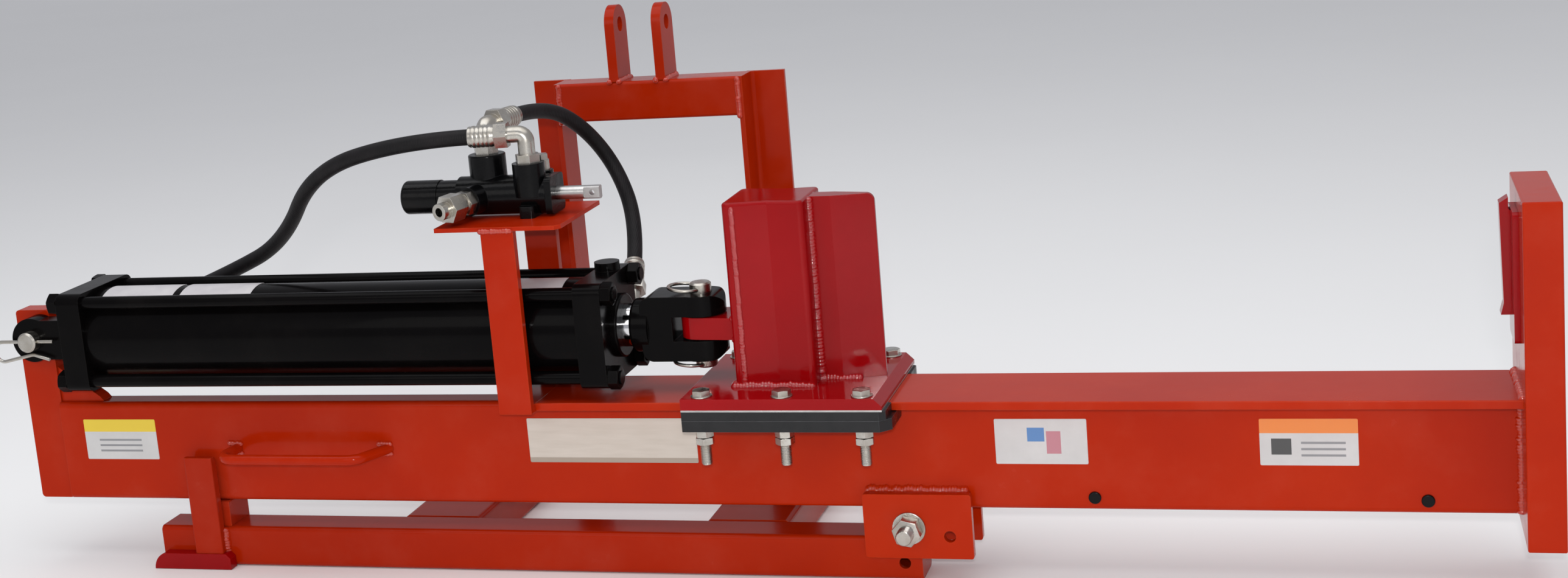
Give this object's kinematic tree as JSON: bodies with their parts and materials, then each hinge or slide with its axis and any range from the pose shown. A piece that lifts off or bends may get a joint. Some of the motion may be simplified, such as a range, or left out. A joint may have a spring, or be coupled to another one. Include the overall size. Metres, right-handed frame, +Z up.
{
  "type": "hydraulic log splitter",
  "caption": "Tractor-mounted hydraulic log splitter: tilting beam with a cylinder-driven sliding wedge, end plate, control valve, hoses and three-point hitch frame.",
  "frame": {"origin": "on the ground under the middle of the base rail, in the beam's centre plane", "axes": "+X along the beam from the cylinder end to the end plate, +Y towards the tractor hitch, +Z up"},
  "size_m": [1.8439, 0.4511, 0.6408],
  "materials": {
    "frame_paint": "gloss",
    "beam_paint": "gloss",
    "crimson_paint": "high gloss",
    "cylinder_black": "gloss",
    "cast_black": "satin",
    "rod_chrome": "polished",
    "zinc_steel": "satin zinc",
    "bare_steel": "ground",
    "spacer_steel": "dark mill scale",
    "hose_rubber": "matte",
    "decal_white": "gloss vinyl",
    "decal_tan": "gloss vinyl"
  },
  "bodies": {
    "base_frame": {"base_rail": "frame_paint", "pivot_bushing": "frame_paint", "rest_posts": "frame_paint", "rest_pad": "frame_paint", "foot_bars": "crimson_paint", "cross_members": "frame_paint", "hitch_bar": "frame_paint", "hitch_pins": "frame_paint", "arch_uprights": "frame_paint", "arch_crossbar": "frame_paint", "top_link_lugs": "frame_paint"},
    "beam": {"beam_tube": "beam_paint", "wear_plate": "beam_paint", "cylinder_post": "beam_paint", "post_gusset": "beam_paint", "end_plate": "beam_paint", "end_pad": "crimson_paint", "end_rib": "crimson_paint", "pivot_brackets": "beam_paint", "pivot_bolt": "zinc_steel", "pivot_nut": "zinc_steel", "lift_handle": "beam_paint", "beam_plugs": "cast_black", "small_decals": "decal_white", "long_decal": "decal_tan", "cylinder_tube": "cylinder_black", "base_cap": "cylinder_black", "head_cap": "cylinder_black", "rod_gland": "cylinder_black", "base_clevis": "cylinder_black", "base_pin": "zinc_steel", "base_pin_clips": "zinc_steel", "tie_rods": "cylinder_black", "tie_nuts": "cylinder_black", "valve_legs": "beam_paint", "valve_shelf": "beam_paint", "valve_body": "cast_black", "relief_cap": "zinc_steel", "detent_cap": "cast_black", "inlet_fitting": "zinc_steel", "hose_elbows": "zinc_steel", "hose_ferrules": "zinc_steel", "hose_base": "hose_rubber", "hose_head": "hose_rubber"},
    "ram": {"piston": "bare_steel", "piston_rod": "rod_chrome", "rod_clevis": "cylinder_black", "rod_pin": "zinc_steel", "rod_pin_rings": "zinc_steel", "tongue": "crimson_paint", "slide_plate": "crimson_paint", "slide_liner": "bare_steel", "spacer_bars": "spacer_steel", "keeper_bars": "spacer_steel", "slide_bolts": "zinc_steel", "slide_nuts": "zinc_steel", "wedge_body": "crimson_paint", "wedge_blade": "crimson_paint"},
    "spool": {"valve_spool": "bare_steel"}
  },
  "joints": [
    {"name": "beam_tilt", "type": "hinge", "parent": "base_frame", "child": "beam", "pos_m": [0.476, 0, 0.0658], "axis": [0, 1, 0], "range_deg": [0, 90]},
    {"name": "ram_slide", "type": "slide", "parent": "beam", "child": "ram", "axis": [1, 0, 0], "range_m": [0, 0.6096]},
    {"name": "spool_slide", "type": "slide", "parent": "beam", "child": "spool", "axis": [1, 0, 0], "range_m": [-0.008, 0.008], "stiffness_N_per_m": 2000}
  ]
}
